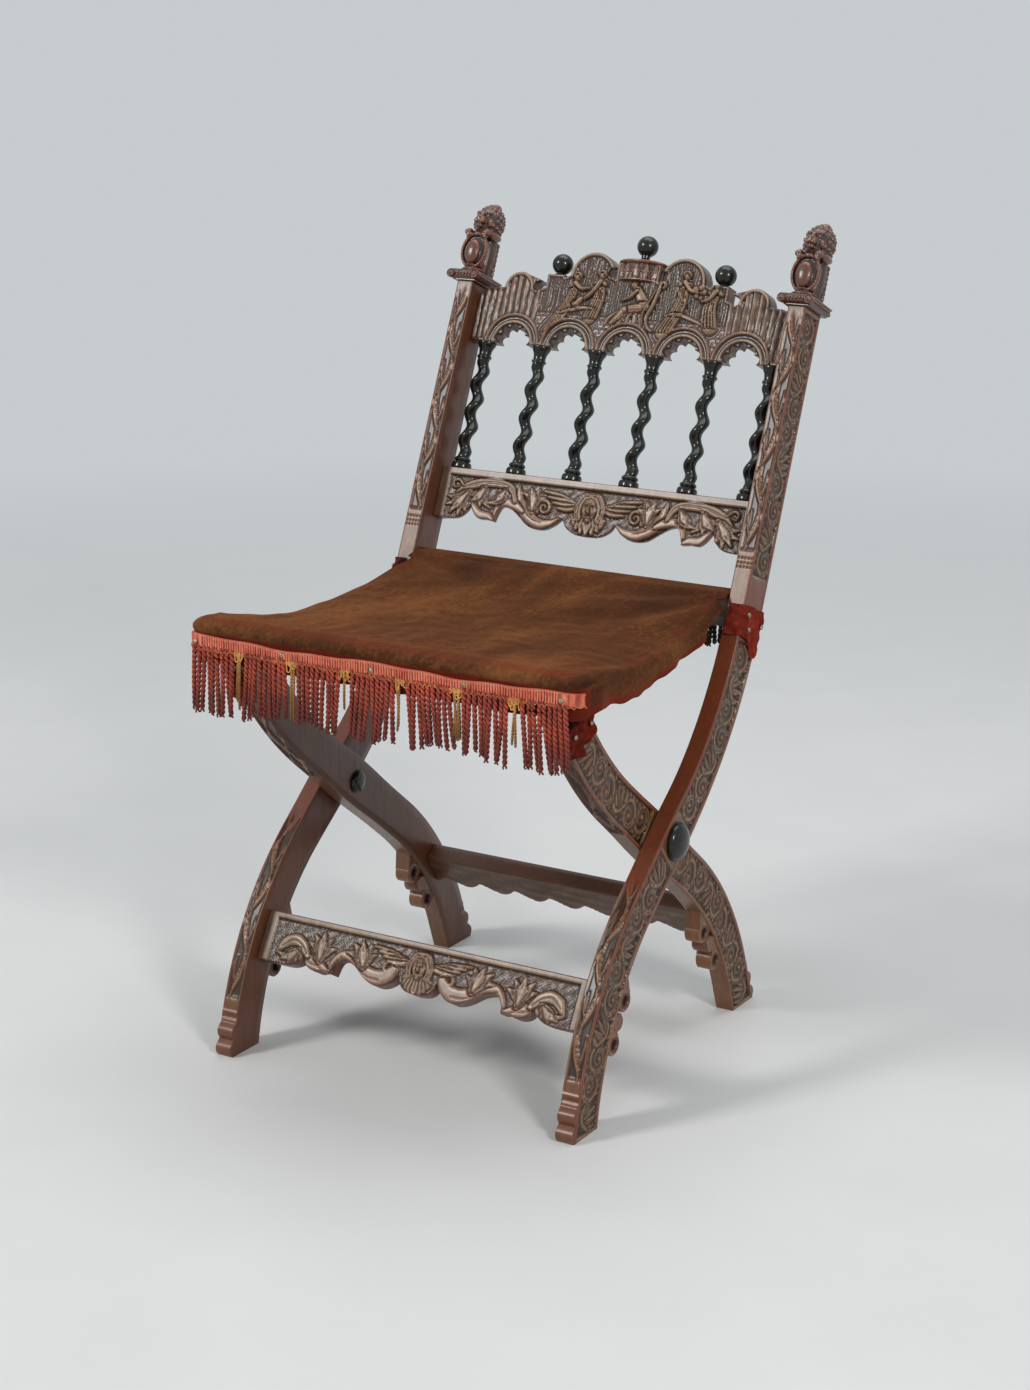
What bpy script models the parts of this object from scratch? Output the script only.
"""Folding X-frame side chair with an arcaded back of twisted spindles and a fringed velvet sling seat.

Metres, +Z up. The chair faces -Y, and left and right are as seen from the front, with +X to the right.
Two long curved stiles, outside, run from the front feet up to the back. Two short legs, inside, run from
the rear feet up to the front seat rail. The pairs cross on one axis along X, on which the chair folds.
"""

import math

import bmesh
import bpy
from mathutils import Matrix, Vector

# Fits
GAP = 0.0003
PIN_CLEARANCE = 0.0003
# A turned dome or ball ends in a flat of this share of its radius
TIP_SHARE = 0.05

# Side frames
FRAME_WIDTH = 0.447
STILE_WIDTH = 0.0205
LEG_WIDTH = 0.0215
WASHER_SPACE = 0.0020
MEMBER_DEPTH = 0.0470
PIVOT_SWELL = 0.0040
SWELL_REACH = 0.050
PIVOT_HEIGHT = 0.260
CROSS_ANGLE = math.radians(52)
LOWER_RADIUS = 0.330
UPPER_RADIUS = 0.450
ARC_STEPS = 10

STILE_LOWER_RUN = 0.080
STILE_FOOT_ANGLE = math.radians(12)
STILE_UPPER_RUN = 0.039
BACK_LEAN = math.radians(23)
BACK_STRAIGHT = 0.346
BACK_TOP_DEPTH = 0.0430

LEG_LOWER_RUN = 0.115
LEG_FOOT_ANGLE = math.radians(20)
LEG_UPPER_RUN = 0.090
LEG_TOP_LEAN = math.radians(30)
LEG_TOP_SPARE = 0.010

# Feet and the pierced scrolls beside them
TOE_COUNT = 2
TOE_RISE = 0.036
TOE_BUMP = 0.0055
TOE_STEPS = 6
HEEL_CHAMFER = 0.004
SCROLL_RADIUS = 0.012
SCROLL_HOLE = 0.005
SCROLL_SINK = 0.001
SCROLL_WEB_ABOVE = 0.020
SCROLL_WEB_BELOW = 0.004
SCROLL_HEIGHTS = (0.124, 0.082)
SCALLOP_HEIGHT = 0.103
SCALLOP_RADIUS = 0.010
SCROLL_INSET = 0.0008
SCROLL_SIDES = 14
HOLE_SIDES = 10

# Folding joint
PIN_RADIUS = 0.004
WASHER_RADIUS = 0.016
BOSS_RADIUS = 0.021
BOSS_HEIGHT = 0.0115
BUTTON_RADIUS = 0.013
BUTTON_HEIGHT = 0.006
PIN_SEAT = 0.0035
PIN_SIDES = 14
BOSS_SIDES = 18
BUTTON_SIDES = 14
DOME_STEPS = 5
DOME_RIM_SHARE = 0.25

# Mortise and tenon joints of the rails
TENON_LENGTH = 0.012
TENON_THICKNESS = 0.008
TENON_EDGE = 0.008

# Back: heights run up the back from the top of the lower rail
BACK_RAIL_HEIGHT = 0.1294
RAIL_BEHIND_STILE = 0.0005
BACK_THICKNESS = 0.020
SPINDLE_COUNT = 6
SPINDLE_END_SPACE = 0.0185
SPINDLE_LENGTH = 0.152
SPINDLE_SIDES = 8

# Spindle turning
DOWEL_RADIUS = 0.004
DOWEL_DEPTH = 0.008
BASE_RADIUS = 0.0118
BASE_HEIGHT = 0.0145
CAP_RADIUS = 0.0108
CAP_HEIGHT = 0.0195
TWIST_RADIUS = 0.0070
TWIST_THROW = 0.0030
TWIST_PITCH = 0.0335
TWIST_STEPS = 7
TWIST_FADE = 0.010
# Turned mouldings as (share of the height, share of the radius)
BASE_MOULDING = ((0.30, 1.0), (0.52, 0.90), (0.60, 0.70), (0.70, 0.82), (0.86, 0.80))
CAP_MOULDING = ((0.06, 0.78), (0.18, 0.78), (0.26, 0.66), (0.55, 0.72), (0.82, 0.95))

# Crest
ARCH_CUSP = 0.0185
ARCH_FOIL = 0.0235
ARCH_FOILS = 5
ARCH_STEPS = 3
SHOULDER_LOW = 0.046
SHOULDER_RISE = 0.019
SHOULDER_STEPS = 4
OUTER_LOBE_RISE = 0.0665
INNER_LOBE_RISE = 0.086
LOBE_STEPS = 8
# Places of the lobes and balls from the middle, and sizes along the crest, in spindle pitches
OUTER_LOBE_PLACE = 2.054
INNER_LOBE_PLACE = 0.784
BALL_PLACE = 1.43
SHOULDER_PITCHES = 0.244
OUTER_LOBE_PITCHES = 0.264
INNER_LOBE_PITCHES = 0.393
DRUM_PITCHES = 0.373
PEDESTAL_PITCHES = 0.156
# Hooked tips and notches beside the lobes, from the lobe's centre towards the middle and up, in pitches
OUTER_TIP = (0.400, 0.149)
OUTER_NOTCH = (0.325, 0.054)
OUTER_SWEEP = 120
INNER_TIP = (0.393, 0.169)
INNER_NOTCH = (0.339, 0.088)
INNER_SWEEP = 135
NOTCH_PITCHES = 0.0745
NOTCH_SWEEP = (80, -90)
NOTCH_STEPS = 4
DRUM_BOW = 0.017
DRUM_FOOT = 0.085
DRUM_TOP = 0.1085
DRUM_LIP = 0.0015
DRUM_LIP_HEIGHT = 0.003
DRUM_STEPS = 12
BALL_RADIUS = 0.0113
BALL_PEDESTAL_RISE = 0.086
BALL_PEDESTAL_HEIGHT = 0.016
BALL_PEDESTAL_STEP = 0.003
SIDE_BALL_NECK = 0.0020
CENTRE_BALL_NECK = 0.0072
BALL_PIN_RADIUS = 0.003
BALL_RINGS = 9
BALL_NECK_SHARE = 0.12
BALL_SIDES = 11

# Lower back rail and front stretcher: half outlines as (from the middle, down from the top edge)
LOWER_RAIL_HEIGHT = 0.060
LOWER_RAIL_CURVES = (
    ((0, 0.062), (0.016, 0.0605), (0.028, 0.054), (0.034, 0.045)),
    ((0.034, 0.045), (0.043, 0.0535), (0.054, 0.0595), (0.066, 0.0605), (0.078, 0.0575), (0.090, 0.049),
     (0.100, 0.0425), (0.109, 0.0395), (0.115, 0.0405), (0.1185, 0.047), (0.1215, 0.058)),
    ((0.1215, 0.058), (0.132, 0.0565), (0.142, 0.0565), (0.150, 0.050), (0.156, 0.0405)),
    ((0.156, 0.0405), (0.161, 0.050), (0.170, 0.0575), (0.182, 0.060)),
)
STRETCHER_HEIGHT = 0.055
STRETCHER_CURVES = (
    ((0, 0.055), (0.012, 0.0535), (0.020, 0.048), (0.024, 0.039)),
    ((0.024, 0.039), (0.030, 0.047), (0.040, 0.0535), (0.051, 0.055), (0.064, 0.050), (0.078, 0.0405),
     (0.089, 0.0365), (0.097, 0.036), (0.103, 0.040), (0.106, 0.054)),
    ((0.106, 0.054), (0.116, 0.0525), (0.126, 0.055), (0.138, 0.051), (0.1445, 0.0395)),
    ((0.1445, 0.0395), (0.150, 0.049), (0.160, 0.054), (0.172, 0.055)),
)
CURVE_STEPS = 2
STRETCHER_THICKNESS = 0.020
STRETCHER_BELOW_PIVOT = 0.2025
STRETCHER_SET_FORWARD = 0.0075

# Rear stretcher
REAR_STRETCHER_HEIGHT = 0.045
REAR_STRETCHER_THICKNESS = 0.0215
REAR_STRETCHER_BELOW_PIVOT = 0.2158
REAR_STRETCHER_SET_BACK = 0.012
REAR_SCALLOPS = 7
REAR_SCALLOP_DEPTH = 0.010
REAR_SCALLOP_END = 0.014
REAR_SCALLOP_STEPS = 5

# Finials
ABACUS_WIDTH = 0.037
ABACUS_DEPTH = 0.060
ABACUS_HEIGHT = 0.012
ABACUS_COVE = 0.004
# Moulding of the block as (share of the height, share of the cove's inset)
ABACUS_MOULDING = ((0.2, 0.5), (0.45, 0.0), (0.85, 0.0), (1.0, 0.33))
# The carved forms on the block as centres and radii: across, back and up along the stile
LION_HEAD = ((0, -0.004, 0.069), (0.0140, 0.0150, 0.0155))
LION_MUZZLE = ((0, -0.0200, 0.066), (0.0070, 0.0070, 0.0064))
LION_FORELOCK = ((0, -0.009, 0.084), (0.0072, 0.0080, 0.0062))
LION_MANE = ((0, 0.0115, 0.065), (0.0165, 0.0150, 0.0230))
LION_BODY = ((0, 0.015, 0.032), (0.0088, 0.0085, 0.0360))
LION_HAUNCH = ((0, 0.014, 0.006), (0.0105, 0.0125, 0.0080))
SHIELD = ((0, -0.013, 0.027), (0.0172, 0.0085, 0.0215))
SHIELD_BOSS = ((0, -0.020, 0.024), (0.0105, 0.0055, 0.0140))
SHIELD_PLATE = ((0, -0.012, 0.003), (0.0155, 0.0115, 0.0062))
# The same for the forms on both sides
LION_FOREARM = ((0.0132, 0.001, 0.049), (0.0046, 0.0140, 0.0055))
SHIELD_CORNER = ((0.0120, -0.014, 0.047), (0.0054, 0.0062, 0.0058))
FINIAL_PIN_RADIUS = 0.005
FINIAL_PIN_DEPTH = 0.015

# Seat
SEAT_FRONT_HEIGHT = 0.4875
SEAT_REAR_HEIGHT = 0.4930
SEAT_SAG = 0.009
EDGE_DROOP = 0.013
SEAT_HALF_WIDTH = 0.235
SEAT_CORNER = 0.020
SEAT_ROLL = 0.004
CLOTH = 0.003
FRONT_FLAP = 0.042
SIDE_FLAP = 0.012
REAR_FLAP = 0.038
FOLD_WAVE = 0.003
FOLD_COUNT = 4
FLAP_ROWS = (0.3, 0.65, 1.0)
NOTCH_MARGIN = 0.001

FRONT_RAIL_DEPTH = 0.044
FRONT_RAIL_HEIGHT = 0.030
FRONT_RAIL_HALF = 0.206
FRONT_RAIL_OVERHANG = 0.008
RAIL_ROUND = 0.006
RAIL_ROUND_STEPS = 3
LEG_TENON_DEPTH = 0.020
LEG_TENON_THICKNESS = 0.012
LEG_TENON_HEIGHT = 0.016
REAR_RAIL_DEPTH = 0.024
REAR_RAIL_HEIGHT = 0.035

# Velvet tabs round the stiles and the leg tops
REAR_TAB_RISE = 0.033
REAR_TAB_DROP = 0.019
FRONT_TAB_RISE = 0.030
FRONT_TAB_DROP = 0.016
TAB_WRAP = 0.016
TAB_STEPS = 4

# Fringes
HEADING_HEIGHT = 0.014
HEADING_THICKNESS = 0.004
HEADING_DROP = 0.0135
CORD_RADIUS = 0.0027
CORD_SIDES = 4
CORD_LENGTH = 0.069
CORD_LENGTH_CHANGE = 0.004
CORD_LENGTH_WAVES = (2.1, 0.4)
CORD_SPACING = 0.006
CORDS_PER_TASSEL = 9
TASSEL_COUNT = 7
FRINGE_END_SPACE = 0.0022
CORD_SEAT = 0.003
REAR_CORD_LENGTH = 0.040
REAR_HEADING_INSET = 0.012
REAR_HEADING_DROP = 0.018
REAR_CORD_SPACING = 0.012

# Worked out from the sizes above
STILE_OUT = FRAME_WIDTH / 2
STILE_IN = STILE_OUT - STILE_WIDTH
LEG_OUT = STILE_IN - WASHER_SPACE
LEG_IN = LEG_OUT - LEG_WIDTH
RAIL_END = STILE_IN - GAP
PIN_BORE = PIN_RADIUS + PIN_CLEARANCE
SPINDLE_PITCH = 2 * (STILE_IN - SPINDLE_END_SPACE) / (SPINDLE_COUNT - 1)
DRUM_HALF_WIDTH = DRUM_PITCHES * SPINDLE_PITCH
PEDESTAL_HALF = PEDESTAL_PITCHES * SPINDLE_PITCH
LEG_TOP = SEAT_FRONT_HEIGHT - CLOTH - FRONT_RAIL_HEIGHT - 2 * GAP
TASSEL_SPACING = 2 * (SEAT_HALF_WIDTH - FRINGE_END_SPACE) / TASSEL_COUNT
SIDES = {"left": -1, "right": 1}

# Finishes: colour, roughness, metallic
OAK = ((0.135, 0.078, 0.055), 0.45, 0.0)
RED_WOOD = ((0.235, 0.080, 0.045), 0.42, 0.0)
EBONY = ((0.012, 0.011, 0.010), 0.22, 0.0)
IRON = ((0.060, 0.055, 0.050), 0.50, 0.9)
LEATHER = ((0.080, 0.045, 0.025), 0.70, 0.0)
VELVET = ((0.190, 0.045, 0.025), 0.90, 0.0)
RED_CORD = ((0.330, 0.060, 0.045), 0.85, 0.0)


def clear_scene():
    for found in list(bpy.data.objects):
        bpy.data.objects.remove(found)


# Solids as (points, faces)

def prism(outline, low, high, place):
    """An outline of (u, v) points swept from low to high; place(u, v, w) gives the point in space."""
    count = len(outline)
    points = [place(u, v, w) for w in (low, high) for u, v in outline]
    sides = [(i, (i + 1) % count, (i + 1) % count + count, i + count) for i in range(count)]
    return points, [tuple(range(count)), tuple(range(count, 2 * count)), *sides]


def loft(rings):
    """Rings with the same number of points, joined one to the next and closed at both ends."""
    count = len(rings[0])
    points = [point for ring in rings for point in ring]
    faces = [tuple(range(count)), tuple(range(len(points) - count, len(points)))]
    for start in range(0, len(points) - count, count):
        for i in range(count):
            j = (i + 1) % count
            faces.append((start + i, start + j, start + j + count, start + i + count))
    return points, faces


def box(low, high):
    rectangle = [(low[0], low[1]), (high[0], low[1]), (high[0], high[1]), (low[0], high[1])]
    return prism(rectangle, low[2], high[2], lambda u, v, w: (u, v, w))


def turned(profile, sides, shift=lambda height: (0, 0)):
    """A turning about Z from (height, radius) pairs; shift moves a ring's centre, as on a twist."""
    rings = []
    for height, radius in profile:
        dx, dy = shift(height)
        angles = [2 * math.pi * i / sides for i in range(sides)]
        rings.append([(dx + radius * math.cos(a), dy + radius * math.sin(a), height) for a in angles])
    return loft(rings)


def moved(solid, matrix):
    points, faces = solid
    return [tuple(matrix @ Vector(point)) for point in points], faces


def along_x(solid, side=1):
    """A turning about Z laid along X, pointing to the given side."""
    return moved(solid, Matrix.Rotation(side * math.pi / 2, 4, "Y"))


def ellipsoid(centre, radii, segments=8, rings=5):
    made = bmesh.new()
    shape = Matrix.Translation(centre) @ Matrix.Diagonal((*radii, 1))
    bmesh.ops.create_uvsphere(made, u_segments=segments, v_segments=rings, radius=1, matrix=shape)
    made.verts.index_update()
    solid = [tuple(v.co) for v in made.verts], [tuple(v.index for v in f.verts) for f in made.faces]
    made.free()
    return solid


def joined(solids):
    points, faces = [], []
    for more_points, more_faces in solids:
        faces += [tuple(i + len(points) for i in face) for face in more_faces]
        points += more_points
    return points, faces


# Objects

def mesh_of(name, solid):
    mesh = bpy.data.meshes.new(name)
    mesh.from_pydata(solid[0], [], solid[1])
    shape = bmesh.new()
    shape.from_mesh(mesh)
    bmesh.ops.recalc_face_normals(shape, faces=shape.faces)
    shape.to_mesh(mesh)
    shape.free()
    return mesh


def add_part(name, solid, finish, parent, smooth=False):
    mesh = mesh_of(name, solid)
    if smooth:
        mesh.shade_smooth()
        mesh.set_sharp_from_angle(angle=math.radians(45))
    colour, roughness, metallic = finish
    material = bpy.data.materials.new(name)
    material.use_nodes = True
    shader = material.node_tree.nodes["Principled BSDF"]
    shader.inputs["Base Color"].default_value = (*colour, 1)
    shader.inputs["Roughness"].default_value = roughness
    shader.inputs["Metallic"].default_value = metallic
    mesh.materials.append(material)
    part = bpy.data.objects.new(name, mesh)
    bpy.context.scene.collection.objects.link(part)
    part.parent = parent
    return part


def add_helper(name, solid, parent):
    helper = bpy.data.objects.new(name, mesh_of(name, solid))
    bpy.context.scene.collection.objects.link(helper)
    helper.parent = parent
    helper.hide_render = True
    helper.display_type = "WIRE"
    return helper


def add_frame(name, parent=None, location=(0, 0, 0), tilt=0.0):
    """An empty whose Z axis leans back from vertical by tilt, towards +Y."""
    frame = bpy.data.objects.new(name, None)
    bpy.context.scene.collection.objects.link(frame)
    frame.parent = parent
    frame.location = location
    frame.rotation_euler = (-tilt, 0, 0)
    return frame


def combine(part, helper, operation):
    modifier = part.modifiers.new(f"{operation.lower()} {helper.name}", "BOOLEAN")
    modifier.operation = operation
    modifier.object = helper
    return part


# Curves in a plane

def arc(centre, radius, start, end, steps):
    """Points on an arc between two angles in degrees, both ends included."""
    angles = [math.radians(start + (end - start) * i / steps) for i in range(steps + 1)]
    return [(centre[0] + radius * math.cos(a), centre[1] + radius * math.sin(a)) for a in angles]


def smooth_curve(points, steps):
    """A Catmull-Rom curve through the points, without its last one."""
    made = []
    padded = [points[0], *points, points[-1]]
    for a, b, c, d in zip(padded, padded[1:], padded[2:], padded[3:]):
        for i in range(steps):
            t = i / steps
            weights = (-t + 2 * t**2 - t**3, 2 - 5 * t**2 + 3 * t**3, t + 4 * t**2 - 3 * t**3, t**3 - t**2)
            made.append(tuple(sum(w * p[k] for w, p in zip(weights, (a, b, c, d))) / 2 for k in (0, 1)))
    return made


def between(points, value, key=1):
    """The point of a line of points where coordinate key has that value, with key rising along the line."""
    for a, b in zip(points, points[1:]):
        if a[key] <= value <= b[key]:
            share = (value - a[key]) / (b[key] - a[key])
            return tuple(p + share * (q - p) for p, q in zip(a, b))
    raise ValueError(f"no point of the line has {value}")


# Curved stiles and legs, drawn in the side plane as (y, z) with the foot towards -Y

class Member:
    """The centre line and edges of one curved member. Headings lean from vertical towards +Y."""

    def __init__(self, lower_run, foot_angle, upper_run, top_lean, top_straight, top_depth):
        self.lower = self.half(lower_run, LOWER_RADIUS, foot_angle, 0, -1)
        self.upper = self.half(upper_run, UPPER_RADIUS, top_lean, top_straight, 1)
        self.path = self.lower[:0:-1] + self.upper
        self.top_depth = top_depth
        self.front = [self.edge(station, -1) for station in self.path]
        self.back = [self.edge(station, 1) for station in self.path]
        for edge in (self.front, self.back):
            y, z = edge[0]
            edge.insert(0, (y - z * math.tan(foot_angle), 0.0))

    @staticmethod
    def half(run, radius, end_heading, straight, way):
        y, z = way * run * math.sin(CROSS_ANGLE), PIVOT_HEIGHT + way * run * math.cos(CROSS_ANGLE)
        stations = [(0.0, PIVOT_HEIGHT, CROSS_ANGLE)]
        for i in range(ARC_STEPS + 1):
            heading = CROSS_ANGLE + (end_heading - CROSS_ANGLE) * i / ARC_STEPS
            across = radius * (math.cos(heading) - math.cos(CROSS_ANGLE))
            along = radius * (math.sin(CROSS_ANGLE) - math.sin(heading))
            stations.append((y + way * across, z + way * along, heading))
        if straight:
            y, z, heading = stations[-1]
            stations.append((y + straight * math.sin(heading), z + straight * math.cos(heading), heading))
        return stations

    def edge(self, station, way, spare=0.0):
        """The point of the front (-1) or back (1) edge at a station. A taper cuts its front."""
        y, z, heading = station
        from_pivot = math.hypot(y, z - PIVOT_HEIGHT)
        depth = MEMBER_DEPTH + PIVOT_SWELL * math.exp(-(from_pivot / SWELL_REACH) ** 2)
        start, end = self.path[-2][1], self.path[-1][1]
        taper = max(0.0, (z - start) / (end - start)) * (MEMBER_DEPTH - self.top_depth)
        reach = way * (depth / 2 + spare) + (taper if way < 0 else 0.0)
        return y + reach * math.cos(heading), z - reach * math.sin(heading)

    def below_pivot(self, distance, run):
        """The station of the lower arc that lies that far along the centre line from the pivot."""
        turn = CROSS_ANGLE - (distance - run) / LOWER_RADIUS
        across = LOWER_RADIUS * (math.cos(turn) - math.cos(CROSS_ANGLE))
        along = LOWER_RADIUS * (math.sin(CROSS_ANGLE) - math.sin(turn))
        y = -run * math.sin(CROSS_ANGLE) - across
        return y, PIVOT_HEIGHT - run * math.cos(CROSS_ANGLE) - along, turn

    def toe(self):
        """The rounded bumps of the toe, from the floor up."""
        radius = TOE_RISE / TOE_COUNT / 2
        points = []
        for bump in range(TOE_COUNT):
            for i in range(TOE_STEPS):
                angle = math.pi * i / TOE_STEPS
                z = radius * (2 * bump + 1 - math.cos(angle))
                points.append((between(self.front, z)[0] - TOE_BUMP * math.sin(angle), z))
        return points

    def outline(self, level_top=None):
        """The closed outline, cut square at the top of the centre line, or level at a height."""
        front = [p for p in self.front if p[1] > TOE_RISE]
        back = [p for p in self.back if p[1] > HEEL_CHAMFER]
        if level_top is not None:
            front = [p for p in front if p[1] < level_top] + [between(self.front, level_top)]
            back = [p for p in back if p[1] < level_top] + [between(self.back, level_top)]
        heel = between(self.back, HEEL_CHAMFER)
        sole = self.back[0][0] - HEEL_CHAMFER
        return [(sole, 0.0), *self.toe(), between(self.front, TOE_RISE), *front, *back[::-1], heel]

    def scroll_centre(self, height, radius):
        """The centre of a round scroll that stands out of the back edge at a height."""
        y, z = between(self.back, height)
        heading = min(self.path, key=lambda station: abs(station[1] - height))[2]
        reach = radius - SCROLL_SINK
        return y + reach * math.cos(heading), z - reach * math.sin(heading)


def straight_past(level, upper_run, top_lean):
    """How far a member runs straight above its upper arc for both its edges to pass a level."""
    arc_end = Member.half(upper_run, UPPER_RADIUS, top_lean, 0, 1)[-1][1]
    needed = level + MEMBER_DEPTH / 2 * math.sin(top_lean) - arc_end
    return max(0.0, needed) / math.cos(top_lean) + LEG_TOP_SPARE


STILE = Member(STILE_LOWER_RUN, STILE_FOOT_ANGLE, STILE_UPPER_RUN, BACK_LEAN, BACK_STRAIGHT, BACK_TOP_DEPTH)
LEG_TOP_STRAIGHT = straight_past(LEG_TOP, LEG_UPPER_RUN, LEG_TOP_LEAN)
LEG = Member(LEG_LOWER_RUN, LEG_FOOT_ANGLE, LEG_UPPER_RUN, LEG_TOP_LEAN, LEG_TOP_STRAIGHT, MEMBER_DEPTH)
BACK_START = STILE.path[-2]


def side_disc(centre, radius, x_low, x_high, facing, sides=SCROLL_SIDES):
    """A disc across X whose centre is given in the side plane; facing is -1 for the legs, which face back."""
    rim = [(facing * centre[0] + radius * math.cos(a), centre[1] + radius * math.sin(a))
           for a in (2 * math.pi * i / sides for i in range(sides))]
    return prism(rim, x_low, x_high, lambda u, v, w: (w, u, v))


def scroll_web(member, height, x_low, x_high, facing):
    """The tapering tail that runs from a scroll up into the edge of its member."""
    tip = member.scroll_centre(height, SCROLL_RADIUS)
    heel = member.scroll_centre(height - SCROLL_WEB_BELOW, 0)
    outline = [between(member.back, height + SCROLL_WEB_ABOVE), tip, heel]
    inside = member.scroll_centre(height + SCROLL_WEB_BELOW, 0)
    outline.append((inside[0] - SCROLL_RADIUS, inside[1]))
    outline = [(facing * y, z) for y, z in outline]
    return prism(outline, x_low, x_high, lambda u, v, w: (w, u, v))


def add_member(name, member, x_low, x_high, facing, parent, level_top=None):
    outline = [(facing * y, z) for y, z in member.outline(level_top)]
    part = add_part(name, prism(outline, x_low, x_high, lambda u, v, w: (w, u, v)), OAK, parent)
    inner_low, inner_high = x_low + SCROLL_INSET, x_high - SCROLL_INSET
    centres = [member.scroll_centre(height, SCROLL_RADIUS) for height in SCROLL_HEIGHTS]
    discs = [side_disc(centre, SCROLL_RADIUS, inner_low, inner_high, facing) for centre in centres]
    scallop = member.scroll_centre(SCALLOP_HEIGHT, SCALLOP_RADIUS)
    discs.append(side_disc(scallop, SCALLOP_RADIUS, inner_low, inner_high, facing))
    discs += [scroll_web(member, height, inner_low, inner_high, facing) for height in SCROLL_HEIGHTS]
    for number, disc in enumerate(discs):
        combine(part, add_helper(f"{name} scroll {number}", disc, parent), "UNION")
    through = (x_low - GAP, x_high + GAP, facing)
    holes = [side_disc(centre, SCROLL_HOLE, *through, HOLE_SIDES) for centre in centres]
    holes.append(side_disc((0, PIVOT_HEIGHT), PIN_BORE, *through, PIN_SIDES))
    combine(part, add_helper(f"{name} holes", joined(holes), parent), "DIFFERENCE")
    return part


# Rails that tenon into the side frames

def tenons(rail_end, low, high, depth, spare=0.0):
    """A tenon past each end of a rail, between two heights and centred on the rail's depth."""
    half = TENON_THICKNESS / 2 + spare
    made = []
    for side in (-1, 1):
        inner, outer = rail_end - TENON_LENGTH / 2, rail_end + TENON_LENGTH + spare
        x_low, x_high = sorted((side * inner, side * outer))
        made.append(box((x_low, depth / 2 - half, low - spare), (x_high, depth / 2 + half, high + spare)))
    return joined(made)


def join_rail(rail, frame, members, rail_end, low, high, depth):
    """Gives a rail its tenons and the side members their mortises."""
    combine(rail, add_helper(f"{rail.name} tenons", tenons(rail_end, low, high, depth), frame), "UNION")
    mortises = add_helper(f"{rail.name} mortises", tenons(rail_end, low, high, depth, GAP), frame)
    for member in members:
        combine(member, mortises, "DIFFERENCE")


def upright(solid_outline, depth):
    """An outline of (x, z) swept back along Y."""
    return prism(solid_outline, 0, depth, lambda u, v, w: (u, w, v))


def apron_outline(curves, half, height):
    """A straight top edge over a shaped lower edge, from half outlines measured down from the top."""
    right = [point for curve in curves for point in smooth_curve(curve, CURVE_STEPS)]
    right = [(x, -down) for x, down in right] + [(half, -height)]
    left = [(-x, z) for x, z in right[:0:-1]]
    return [(-half, 0), *left, *right, (half, 0)]


def scalloped_outline(half):
    """The rear stretcher: leaning scallops along its lower edge."""
    width = 2 * (half - REAR_SCALLOP_END) / REAR_SCALLOPS
    edge = []
    for scallop in range(REAR_SCALLOPS):
        for i in range(REAR_SCALLOP_STEPS):
            share = i / REAR_SCALLOP_STEPS
            rise = REAR_SCALLOP_DEPTH * (1 - math.sin(math.pi * share**1.5))
            x = -half + REAR_SCALLOP_END + (scallop + share) * width
            edge.append((x, rise - REAR_STRETCHER_HEIGHT))
    low = -REAR_STRETCHER_HEIGHT
    return [(-half, 0), (-half, low), *edge, (half - REAR_SCALLOP_END, low + REAR_SCALLOP_DEPTH),
            (half, low), (half, 0)]


# Back

def arcade_edge():
    """The lower edge of the crest from left to right: pendants over the spindles, foiled arches between."""
    points = [(-RAIL_END, SPINDLE_LENGTH)]
    for arch in range(SPINDLE_COUNT - 1):
        centre = (arch - (SPINDLE_COUNT - 2) / 2) * SPINDLE_PITCH
        count = ARCH_FOILS * ARCH_STEPS
        for i in range(count + 1):
            angle = math.pi * (1 - i / count)
            radius = ARCH_CUSP + (ARCH_FOIL - ARCH_CUSP) * abs(math.sin(ARCH_FOILS * angle))
            points.append((centre + radius * math.cos(angle), SPINDLE_LENGTH + radius * math.sin(angle)))
    return [*points, (RAIL_END, SPINDLE_LENGTH)]


def hooked_lobe(place, rise, pitches, sweep, tip, notch):
    """A round lobe seen from its outer side, ending in a hooked tip over a round notch."""
    pitch = SPINDLE_PITCH
    x, z = place * pitch, SPINDLE_LENGTH + rise
    round_top = arc((x, z), pitches * pitch, 0, sweep, LOBE_STEPS)
    hook = (x - tip[0] * pitch, z + tip[1] * pitch)
    middle = (x - notch[0] * pitch, z + notch[1] * pitch)
    return [*round_top, hook, *arc(middle, NOTCH_PITCHES * pitch, *NOTCH_SWEEP, NOTCH_STEPS)]


def crest_top():
    """The right half of the crest's top edge, from the stile to the middle."""
    base, run = SPINDLE_LENGTH, SHOULDER_PITCHES * SPINDLE_PITCH
    points = [(RAIL_END, base + SHOULDER_LOW)]
    angles = [math.pi / 2 * i / SHOULDER_STEPS for i in range(1, SHOULDER_STEPS + 1)]
    points += [(RAIL_END - run * (1 - math.cos(a)), base + SHOULDER_LOW + SHOULDER_RISE * math.sin(a))
               for a in angles]
    points += hooked_lobe(OUTER_LOBE_PLACE, OUTER_LOBE_RISE, OUTER_LOBE_PITCHES, OUTER_SWEEP, OUTER_TIP,
                          OUTER_NOTCH)
    top = base + BALL_PEDESTAL_RISE
    right, left = ball_places()[2] + PEDESTAL_HALF, ball_places()[2] - PEDESTAL_HALF
    points += [(right, top - BALL_PEDESTAL_HEIGHT), (right, top)]
    points += [(left, top), (left, top - BALL_PEDESTAL_STEP)]
    points += hooked_lobe(INNER_LOBE_PLACE, INNER_LOBE_RISE, INNER_LOBE_PITCHES, INNER_SWEEP, INNER_TIP,
                          INNER_NOTCH)
    points += [(DRUM_HALF_WIDTH, base + DRUM_FOOT), (DRUM_HALF_WIDTH, base + DRUM_TOP - GAP)]
    return points


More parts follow.
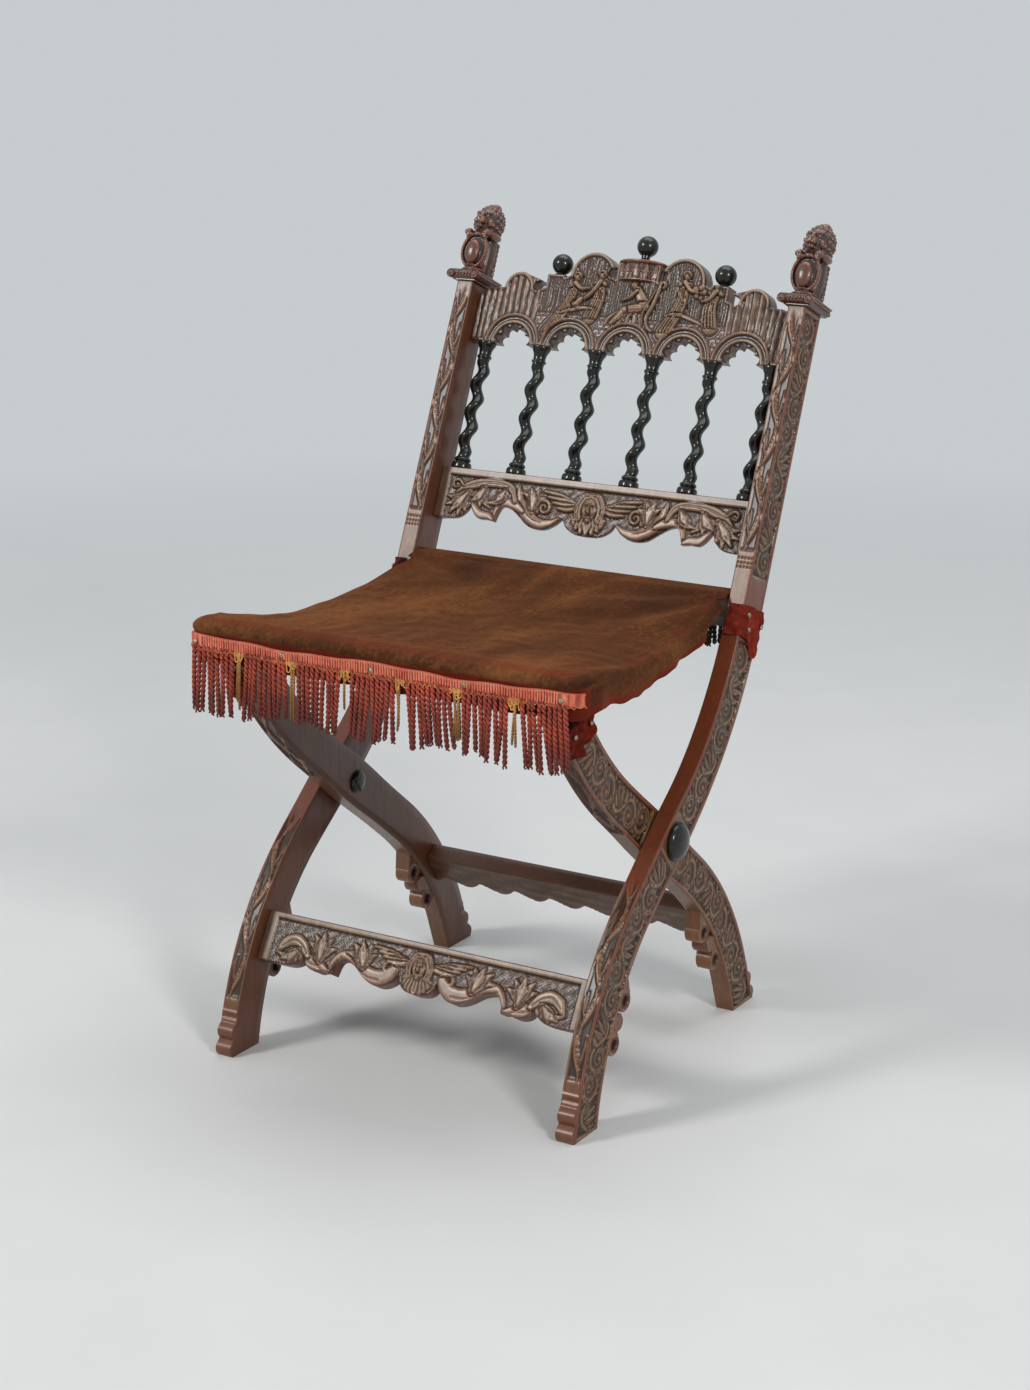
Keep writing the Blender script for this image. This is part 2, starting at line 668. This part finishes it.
def crest_outline():
    right = crest_top()
    left = [(-x, z) for x, z in right[::-1]]
    return [*arcade_edge(), *right, *left]


def drum():
    """The bow-fronted pedestal in the middle of the crest, with its lip."""
    def half_round(spare, low, high):
        half, bow = DRUM_HALF_WIDTH + spare, DRUM_BOW + spare
        angles = [math.pi * i / DRUM_STEPS for i in range(DRUM_STEPS + 1)]
        front = [(-half * math.cos(a), BACK_THICKNESS / 2 - bow * math.sin(a)) for a in angles]
        return [[(x, y, z) for x, y in front] for z in (low, high)]

    base, top = SPINDLE_LENGTH + DRUM_FOOT, SPINDLE_LENGTH + DRUM_TOP
    lip = top - DRUM_LIP_HEIGHT
    return loft([*half_round(0, base, lip), *half_round(DRUM_LIP, lip, top)])


def ball_places():
    return (-BALL_PLACE * SPINDLE_PITCH, 0.0, BALL_PLACE * SPINDLE_PITCH)


def ball(neck):
    """A turned ball on a short neck, with the pin that holds it."""
    centre = neck + BALL_RADIUS
    profile = [(-DOWEL_DEPTH, BALL_PIN_RADIUS), (GAP, BALL_PIN_RADIUS), (GAP, BALL_RADIUS / 2)]
    for i in range(1, BALL_RINGS):
        angle = math.pi * (BALL_NECK_SHARE + (1 - BALL_NECK_SHARE) * i / BALL_RINGS)
        profile.append((centre - BALL_RADIUS * math.cos(angle), BALL_RADIUS * math.sin(angle)))
    profile.append((centre + BALL_RADIUS, BALL_RADIUS * TIP_SHARE))
    return turned(profile, BALL_SIDES)


def spindle():
    """A single-start barley twist between a turned base and cap, with a dowel at each end."""
    start, end = BASE_HEIGHT, SPINDLE_LENGTH - CAP_HEIGHT
    base = [(-DOWEL_DEPTH, DOWEL_RADIUS), (GAP, DOWEL_RADIUS), (GAP, BASE_MOULDING[1][1] * BASE_RADIUS)]
    base += [(up * BASE_HEIGHT, wide * BASE_RADIUS) for up, wide in BASE_MOULDING]
    count = round(TWIST_STEPS * (end - start) / TWIST_PITCH)
    shaft = [(start + (end - start) * i / count, TWIST_RADIUS) for i in range(count + 1)]
    cap = [(end + up * CAP_HEIGHT, wide * CAP_RADIUS) for up, wide in CAP_MOULDING]
    cap += [(SPINDLE_LENGTH - GAP, CAP_RADIUS), (SPINDLE_LENGTH - GAP, DOWEL_RADIUS),
            (SPINDLE_LENGTH + DOWEL_DEPTH, DOWEL_RADIUS)]

    def throw(height):
        fade = min(1.0, max(0.0, min(height - start, end - height) / TWIST_FADE))
        turn = 2 * math.pi * (height - start) / TWIST_PITCH
        return TWIST_THROW * fade * math.cos(turn), TWIST_THROW * fade * math.sin(turn)

    return turned(base + shaft + cap, SPINDLE_SIDES, throw)


def socket(x, height, depth, radius, way):
    """A blind hole for a dowel, opening at a height and going up or down."""
    reach = DOWEL_DEPTH + GAP
    low, high = sorted((height - way * GAP, height + way * reach))
    hole = turned([(low, radius + GAP), (high, radius + GAP)], HOLE_SIDES)
    return moved(hole, Matrix.Translation((x, depth, 0)))


def build_back(parent, stiles):
    up = Vector((math.sin(BACK_LEAN), math.cos(BACK_LEAN)))
    out = Vector((math.cos(BACK_LEAN), -math.sin(BACK_LEAN)))
    origin = Vector(BACK_START[:2]) + BACK_RAIL_HEIGHT * up + RAIL_BEHIND_STILE * out
    frame = add_frame("back plane", parent, (0, *origin), BACK_LEAN)
    middle = BACK_THICKNESS / 2
    places = [(i - (SPINDLE_COUNT - 1) / 2) * SPINDLE_PITCH for i in range(SPINDLE_COUNT)]

    outline = apron_outline(LOWER_RAIL_CURVES, RAIL_END, LOWER_RAIL_HEIGHT)
    lower = add_part("lower_back_rail", upright(outline, BACK_THICKNESS), OAK, frame)
    low = TENON_EDGE - LOWER_RAIL_HEIGHT
    join_rail(lower, frame, stiles, RAIL_END, low, -TENON_EDGE, BACK_THICKNESS)
    sockets = [socket(x, 0, middle, DOWEL_RADIUS, -1) for x in places]
    combine(lower, add_helper("lower rail sockets", joined(sockets), frame), "DIFFERENCE")

    crest = add_part("crest_rail", upright(crest_outline(), BACK_THICKNESS), OAK, frame)
    combine(crest, add_helper("crest drum", drum(), frame), "UNION")
    low, high = SPINDLE_LENGTH + TENON_EDGE, SPINDLE_LENGTH + SHOULDER_LOW - TENON_EDGE
    join_rail(crest, frame, stiles, RAIL_END, low, high, BACK_THICKNESS)
    tops = [SPINDLE_LENGTH + rise for rise in (BALL_PEDESTAL_RISE, DRUM_TOP, BALL_PEDESTAL_RISE)]
    sockets = [socket(x, SPINDLE_LENGTH, middle, DOWEL_RADIUS, 1) for x in places]
    sockets += [socket(x, top, middle, BALL_PIN_RADIUS, -1) for x, top in zip(ball_places(), tops)]
    combine(crest, add_helper("crest sockets", joined(sockets), frame), "DIFFERENCE")

    for number, x in enumerate(places, 1):
        add_part(f"spindle_{number}", spindle(), EBONY, frame, True).location = (x, middle, 0)
    necks = (SIDE_BALL_NECK, CENTRE_BALL_NECK, SIDE_BALL_NECK)
    for name, x, top, neck in zip(("left", "centre", "right"), ball_places(), tops, necks):
        add_part(f"{name}_ball", ball(neck), EBONY, frame, True).location = (x, middle, top)
    return frame


# Finials: a seated lion behind an oval shield, on a moulded block

def finial_block():
    def ring(spare, height):
        x, y = ABACUS_WIDTH / 2 - spare, ABACUS_DEPTH / 2 - spare
        return [(-x, -y, height), (x, -y, height), (x, y, height), (-x, y, height)]

    levels = [(share * ABACUS_COVE, up * ABACUS_HEIGHT) for up, share in ABACUS_MOULDING]
    return loft([ring(spare, height) for spare, height in [(ABACUS_COVE, GAP), *levels]])


def finial_forms():
    """The forms above the block, mirrored where both sides have one."""
    forms = [LION_HEAD, LION_MUZZLE, LION_FORELOCK, LION_MANE, LION_BODY, LION_HAUNCH, SHIELD, SHIELD_BOSS,
             SHIELD_PLATE]
    for (x, y, z), radii in (LION_FOREARM, SHIELD_CORNER):
        forms += [((side * x, y, z), radii) for side in (-1, 1)]
    return [ellipsoid((x, y, z + ABACUS_HEIGHT), radii) for (x, y, z), radii in forms]


def build_finials(frame, stiles):
    top = BACK_STRAIGHT - BACK_RAIL_HEIGHT
    back = (MEMBER_DEPTH - BACK_TOP_DEPTH) / 2 - RAIL_BEHIND_STILE
    for (name, side), stile in zip(SIDES.items(), stiles):
        place = (side * (STILE_OUT + STILE_IN) / 2, back, top)
        finial = add_part(f"{name}_finial", finial_block(), RED_WOOD, frame, True)
        finial.location = place
        for number, form in enumerate(finial_forms()):
            helper = add_helper(f"{name} finial form {number}", form, frame)
            helper.location = place
            combine(finial, helper, "UNION")
        ends = (-FINIAL_PIN_DEPTH, ABACUS_HEIGHT / 2)
        shank = turned([(height, FINIAL_PIN_RADIUS) for height in ends], HOLE_SIDES)
        pin = add_helper(f"{name} finial pin", shank, frame)
        pin.location = place
        combine(finial, pin, "UNION")
        ends = (-FINIAL_PIN_DEPTH - GAP, GAP)
        bore = turned([(height, FINIAL_PIN_RADIUS + GAP) for height in ends], HOLE_SIDES)
        hole = add_helper(f"{name} finial hole", bore, frame)
        hole.location = place
        combine(stile, hole, "DIFFERENCE")


# Folding joint

def dome(radius, height, sides):
    """A flat-backed dome on a short rim, from its seat up."""
    rim = height * DOME_RIM_SHARE
    profile = [(0, radius), (rim, radius)]
    angles = [math.pi / 2 * i / DOME_STEPS for i in range(1, DOME_STEPS)]
    profile += [(rim + (height - rim) * math.sin(a), radius * math.cos(a)) for a in angles]
    return turned([*profile, (height, radius * TIP_SHARE)], sides)


def build_pivot(stile_frame, leg_frame):
    for name, side in SIDES.items():
        reach = STILE_OUT + GAP + PIN_SEAT - (LEG_IN - GAP - PIN_SEAT)
        pin = along_x(turned([(0, PIN_RADIUS), (reach, PIN_RADIUS)], PIN_SIDES), side)
        add_part(f"{name}_pivot_pin", pin, IRON, stile_frame, True).location = (
            side * (LEG_IN - GAP - PIN_SEAT), 0, PIVOT_HEIGHT)

        hole = turned([(-GAP, PIN_BORE), (PIN_SEAT + GAP, PIN_BORE)], PIN_SIDES)
        cap = along_x(dome(BOSS_RADIUS, BOSS_HEIGHT, BOSS_SIDES), side)
        boss = add_part(f"{name}_pivot_boss", cap, EBONY, stile_frame, True)
        boss.location = (side * (STILE_OUT + GAP), 0, PIVOT_HEIGHT)
        boss_hole = add_helper(f"{name} boss hole", along_x(hole, side), stile_frame)
        boss_hole.location = boss.location
        combine(boss, boss_hole, "DIFFERENCE")

        cap = along_x(dome(BUTTON_RADIUS, BUTTON_HEIGHT, BUTTON_SIDES), -side)
        button = add_part(f"{name}_pivot_button", cap, EBONY, leg_frame, True)
        button.location = (side * (LEG_IN - GAP), 0, PIVOT_HEIGHT)
        button_hole = add_helper(f"{name} button hole", along_x(hole, -side), leg_frame)
        button_hole.location = button.location
        combine(button, button_hole, "DIFFERENCE")

        thickness = WASHER_SPACE - 2 * GAP
        disc = along_x(turned([(0, WASHER_RADIUS), (thickness, WASHER_RADIUS)], BOSS_SIDES), side)
        washer = add_part(f"{name}_pivot_washer", disc, LEATHER, leg_frame)
        washer.location = (side * (LEG_OUT + GAP), 0, PIVOT_HEIGHT)
        bore = turned([(-GAP, PIN_BORE), (thickness + GAP, PIN_BORE)], PIN_SIDES)
        washer_bore = add_helper(f"{name} washer bore", along_x(bore, side), leg_frame)
        washer_bore.location = washer.location
        combine(washer, washer_bore, "DIFFERENCE")


# Stretchers and seat rails

def build_front_stretcher(parent, stiles):
    y, z, heading = STILE.below_pivot(STRETCHER_BELOW_PIVOT, STILE_LOWER_RUN)
    up = Vector((math.sin(heading), math.cos(heading)))
    ahead = Vector((-math.cos(heading), math.sin(heading)))
    origin = Vector((y, z)) + STRETCHER_HEIGHT / 2 * up + STRETCHER_SET_FORWARD * ahead
    frame = add_frame("front stretcher plane", parent, (0, *origin), heading)
    outline = apron_outline(STRETCHER_CURVES, RAIL_END, STRETCHER_HEIGHT)
    rail = add_part("front_stretcher", upright(outline, STRETCHER_THICKNESS), OAK, frame)
    low = TENON_EDGE - STRETCHER_HEIGHT
    join_rail(rail, frame, stiles, RAIL_END, low, -TENON_EDGE, STRETCHER_THICKNESS)


def build_rear_stretcher(parent, legs):
    y, z, heading = LEG.below_pivot(REAR_STRETCHER_BELOW_PIVOT, LEG_LOWER_RUN)
    up = Vector((-math.sin(heading), math.cos(heading)))
    ahead = Vector((-math.cos(heading), -math.sin(heading)))
    forward = REAR_STRETCHER_THICKNESS - REAR_STRETCHER_SET_BACK
    origin = Vector((-y, z)) + REAR_STRETCHER_HEIGHT / 2 * up + forward * ahead
    frame = add_frame("rear stretcher plane", parent, (0, *origin), -heading)
    end = LEG_IN - GAP
    rail = add_part("rear_stretcher", upright(scalloped_outline(end), REAR_STRETCHER_THICKNESS), OAK, frame)
    low = TENON_EDGE - REAR_STRETCHER_HEIGHT + REAR_SCALLOP_DEPTH
    join_rail(rail, frame, legs, end, low, -TENON_EDGE, REAR_STRETCHER_THICKNESS)


def rail_section(depth, height):
    """A seat rail's section as (y, z) from its front face and top, with rounded upper edges."""
    back = arc((depth - RAIL_ROUND, -RAIL_ROUND), RAIL_ROUND, 0, 90, RAIL_ROUND_STEPS)
    front = arc((RAIL_ROUND, -RAIL_ROUND), RAIL_ROUND, 90, 180, RAIL_ROUND_STEPS)
    return [(0, -height), (depth, -height), *back, *front]


def seat_rail(depth, height, half):
    return prism(rail_section(depth, height), -half, half, lambda u, v, w: (w, u, v))


LEG_FRONT = -between(LEG.back, LEG_TOP)[0]
FRONT_RAIL_FACE = LEG_FRONT - FRONT_RAIL_OVERHANG
FRONT_RAIL_BACK = FRONT_RAIL_FACE + FRONT_RAIL_DEPTH
REAR_RAIL_FACE = BACK_START[0] - REAR_RAIL_DEPTH / 2


def leg_tenons(spare=0.0):
    """The tenons on the leg tops that hold the front seat rail."""
    middle = (LEG_FRONT + FRONT_RAIL_BACK) / 2
    across, deep = LEG_TENON_THICKNESS / 2 + spare, LEG_TENON_DEPTH / 2 + spare
    made = {}
    for name, side in SIDES.items():
        x = side * (LEG_OUT + LEG_IN) / 2
        low = (x - across, middle - deep, LEG_TOP - LEG_TENON_HEIGHT)
        made[name] = box(low, (x + across, middle + deep, LEG_TOP + LEG_TENON_HEIGHT + spare))
    return made


def build_seat_rails(stile_frame, leg_frame, stiles, legs):
    front_top = SEAT_FRONT_HEIGHT - CLOTH - GAP
    bar = seat_rail(FRONT_RAIL_DEPTH, FRONT_RAIL_HEIGHT, FRONT_RAIL_HALF)
    front = add_part("front_seat_rail", bar, OAK, leg_frame)
    front.location = (0, FRONT_RAIL_FACE, front_top)
    for leg, (name, tenon) in zip(legs, leg_tenons().items()):
        combine(leg, add_helper(f"{name} leg tenon", tenon, leg_frame), "UNION")
    mortises = add_helper("front seat rail mortises", joined(leg_tenons(GAP).values()), leg_frame)
    combine(front, mortises, "DIFFERENCE")

    rear_top = SEAT_REAR_HEIGHT - CLOTH - GAP
    frame = add_frame("rear seat rail place", stile_frame, (0, REAR_RAIL_FACE, rear_top))
    rear = add_part("rear_seat_rail", seat_rail(REAR_RAIL_DEPTH, REAR_RAIL_HEIGHT, RAIL_END), OAK, frame)
    low = TENON_EDGE - REAR_RAIL_HEIGHT
    join_rail(rear, frame, stiles, RAIL_END, low, -TENON_EDGE, REAR_RAIL_DEPTH)


# Velvet seat: one sheet over both rails, with hanging flaps at the front and the sides

SEAT_FRONT = FRONT_RAIL_FACE - GAP - CLOTH
SEAT_BACK = REAR_RAIL_FACE + REAR_RAIL_DEPTH + GAP + CLOTH
SEAT_REAR_HALF = STILE_IN - 2 * GAP
SEAT_NARROW = between(STILE.front, SEAT_REAR_HEIGHT - SIDE_FLAP - EDGE_DROOP)[0] - CLOTH - NOTCH_MARGIN
COLUMNS = (-1, -0.95, -0.8, -0.5, -0.18, 0.18, 0.5, 0.8, 0.95, 1)
CORNER_TURNS = (0, math.pi / 6, math.pi / 3, math.pi / 2)
SAG_ROWS = 7


def seat_height(share_across, y):
    """The upper face of the seat: level over the rails, sagging between them, most along the edges."""
    along = min(1.0, max(0.0, (y - FRONT_RAIL_BACK) / (REAR_RAIL_FACE - FRONT_RAIL_BACK)))
    sag = 4 * along * (1 - along) * (SEAT_SAG + EDGE_DROOP * share_across**4)
    return SEAT_FRONT_HEIGHT + along * (SEAT_REAR_HEIGHT - SEAT_FRONT_HEIGHT) - sag


def seat_rows():
    """Rows from front to back as (y, half width, drop below the upper face), and how many have side flaps."""
    rows = []
    for turn in CORNER_TURNS:
        half = SEAT_HALF_WIDTH - SEAT_CORNER * (1 - math.sin(turn))
        rows.append((SEAT_FRONT + SEAT_CORNER * (1 - math.cos(turn)), half, SEAT_ROLL if turn == 0 else 0.0))
    run = SEAT_NARROW - FRONT_RAIL_BACK
    for i in range(SAG_ROWS + 1):
        half = SEAT_HALF_WIDTH + (SEAT_REAR_HALF - SEAT_HALF_WIDTH) * i / SAG_ROWS
        rows.append((FRONT_RAIL_BACK + run * i / SAG_ROWS, half, 0.0))
    flapped = len(rows)
    rows += [(y, SEAT_REAR_HALF, 0.0) for y in (REAR_RAIL_FACE, SEAT_BACK - SEAT_ROLL)]
    rows += [(SEAT_BACK, SEAT_REAR_HALF, SEAT_ROLL), (SEAT_BACK, SEAT_REAR_HALF, REAR_FLAP)]
    return rows, flapped


def seat_sheet():
    """The seat's outer face as points and faces that look up and out."""
    rows, flapped = seat_rows()
    points, faces = [], []
    for row, (y, half, drop) in enumerate(rows):
        for share in COLUMNS:
            rolled = SEAT_ROLL if row < flapped and abs(share) == 1 else 0.0
            points.append((share * half, y, seat_height(share, y) - max(drop, rolled)))
    count = len(COLUMNS)
    for row in range(len(rows) - 1):
        for i in range(count - 1):
            a = row * count + i
            faces.append((a, a + 1, a + 1 + count, a + count))
    left = [row * count for row in range(flapped - 1, -1, -1)]
    chain = [*left, *range(1, count - 1), *[row * count + count - 1 for row in range(flapped)]]
    upper = chain
    first = SEAT_FRONT + SEAT_CORNER
    for share in FLAP_ROWS:
        lower = []
        for index in chain:
            x, y, z = points[index]
            along = max(0.0, (y - first) / (SEAT_NARROW - first))
            wave = FOLD_WAVE * share * math.sin(math.pi * along) * math.sin(2 * math.pi * FOLD_COUNT * along)
            flap = FRONT_FLAP + (SIDE_FLAP - FRONT_FLAP) * along
            lower.append(len(points))
            points.append((x + math.copysign(wave, x), y, z - share * flap))
        for i in range(len(chain) - 1):
            faces.append((upper[i + 1], upper[i], lower[i], lower[i + 1]))
        upper = lower
    return points, faces


def build_seat(parent):
    points, faces = seat_sheet()
    cover = add_part("seat_cover", ([], []), VELVET, parent)
    cover.data.from_pydata(points, [], faces)
    cover.data.shade_smooth()
    solid = cover.modifiers.new("cloth thickness", "SOLIDIFY")
    solid.thickness = CLOTH
    solid.offset = -1
    solid.use_even_offset = True


def tab(member, low, high, face, side, facing):
    """A strip of velvet round a member's outer face and edges, between two heights of its centre line."""
    rings = []
    for i in range(TAB_STEPS + 1):
        station = between(member.path, low + (high - low) * i / TAB_STEPS)
        inner, outer = GAP, GAP + CLOTH
        section = [(face - TAB_WRAP, -1, outer), (face + outer, -1, outer), (face + outer, 1, outer),
                   (face - TAB_WRAP, 1, outer), (face - TAB_WRAP, 1, inner), (face + inner, 1, inner),
                   (face + inner, -1, inner), (face - TAB_WRAP, -1, inner)]
        ring = []
        for x, way, spare in section:
            y, z = member.edge(station, way, spare)
            ring.append((side * x, facing * y, z))
        rings.append(ring)
    return loft(rings)


def build_tabs(stile_frame, leg_frame):
    rear_high = SEAT_REAR_HEIGHT - REAR_TAB_DROP
    front_high = LEG_TOP - FRONT_TAB_DROP
    for name, side in SIDES.items():
        rear = tab(STILE, rear_high - REAR_TAB_RISE, rear_high, STILE_OUT, side, 1)
        add_part(f"{name}_rear_tab", rear, VELVET, stile_frame)
        front = tab(LEG, front_high - FRONT_TAB_RISE, front_high, LEG_OUT, side, -1)
        add_part(f"{name}_front_tab", front, VELVET, leg_frame)


# Fringes: a braided heading with hanging cords, fused into one piece

def cord(x, y, top, length):
    strand = turned([(-length, CORD_RADIUS), (CORD_SEAT, CORD_RADIUS)], CORD_SIDES)
    return moved(strand, Matrix.Translation((x, y, top)))


def front_heading(low, high):
    """The heading follows the front edge of the seat and turns both corners."""
    stations = []
    for side in (-1, 1):
        corner = []
        x, y = side * (SEAT_HALF_WIDTH - SEAT_CORNER), SEAT_FRONT + SEAT_CORNER
        for turn in CORNER_TURNS[:-1]:
            reaches = [SEAT_CORNER + GAP, SEAT_CORNER + GAP + HEADING_THICKNESS]
            corner.append([(x + side * r * math.sin(turn), y - r * math.cos(turn)) for r in reaches])
        stations += corner[::-1] if side < 0 else corner
    return loft([[(*near, low), (*far, low), (*far, high), (*near, high)] for near, far in stations])


def build_front_fringe(parent):
    high = SEAT_FRONT_HEIGHT - HEADING_DROP
    low = high - HEADING_HEIGHT
    fringe = add_part("front_fringe", front_heading(low, high), RED_CORD, parent)
    cords = []
    for tassel in range(TASSEL_COUNT):
        for strand in range(CORDS_PER_TASSEL):
            x = (tassel - (TASSEL_COUNT - 1) / 2) * TASSEL_SPACING
            x += (strand - (CORDS_PER_TASSEL - 1) / 2) * CORD_SPACING
            wave = CORD_LENGTH_WAVES[0] * tassel + CORD_LENGTH_WAVES[1] * strand
            length = CORD_LENGTH + CORD_LENGTH_CHANGE * math.sin(wave)
            cords.append(cord(x, SEAT_FRONT - GAP - CORD_RADIUS, low, length))
    combine(fringe, add_helper("front cords", joined(cords), parent), "UNION")


def build_rear_fringe(parent):
    half = RAIL_END - REAR_HEADING_INSET
    high = SEAT_REAR_HEIGHT - REAR_HEADING_DROP
    low = high - HEADING_HEIGHT
    near = SEAT_BACK + GAP
    heading = box((-half, near, low), (half, near + HEADING_THICKNESS, high))
    fringe = add_part("rear_fringe", heading, RED_CORD, parent)
    count = int(2 * (half - CORD_SPACING) / REAR_CORD_SPACING)
    cords = [cord((i - count / 2) * REAR_CORD_SPACING, near + CORD_RADIUS, low, REAR_CORD_LENGTH)
             for i in range(count + 1)]
    combine(fringe, add_helper("rear cords", joined(cords), parent), "UNION")


def depth_range():
    """The least and greatest Y of all the parts."""
    bpy.context.view_layer.update()
    graph = bpy.context.evaluated_depsgraph_get()
    found = []
    for part in bpy.data.objects:
        if part.type == "MESH" and not part.hide_render:
            shown = part.evaluated_get(graph)
            found += [(shown.matrix_world @ Vector(corner)).y for corner in shown.bound_box]
    return min(found), max(found)


def main():
    clear_scene()
    chair = add_frame("chair")
    back_frame = add_frame("back_frame", chair)
    fold_axis = add_frame("fold axis", back_frame, (0, 0, PIVOT_HEIGHT))
    seat_frame = add_frame("seat_frame", fold_axis, (0, 0, -PIVOT_HEIGHT))

    stiles, legs = [], []
    for name, side in SIDES.items():
        low, high = sorted((side * STILE_IN, side * STILE_OUT))
        stiles.append(add_member(f"{name}_stile", STILE, low, high, 1, back_frame))
        low, high = sorted((side * LEG_IN, side * LEG_OUT))
        legs.append(add_member(f"{name}_leg", LEG, low, high, -1, seat_frame, LEG_TOP))

    build_pivot(back_frame, seat_frame)
    back_plane = build_back(back_frame, stiles)
    build_finials(back_plane, stiles)
    build_front_stretcher(back_frame, stiles)
    build_rear_stretcher(seat_frame, legs)
    build_seat_rails(back_frame, seat_frame, stiles, legs)
    build_seat(seat_frame)
    build_tabs(back_frame, seat_frame)
    build_front_fringe(seat_frame)
    build_rear_fringe(back_frame)

    front, back = depth_range()
    chair.location.y = -(front + back) / 2


main()
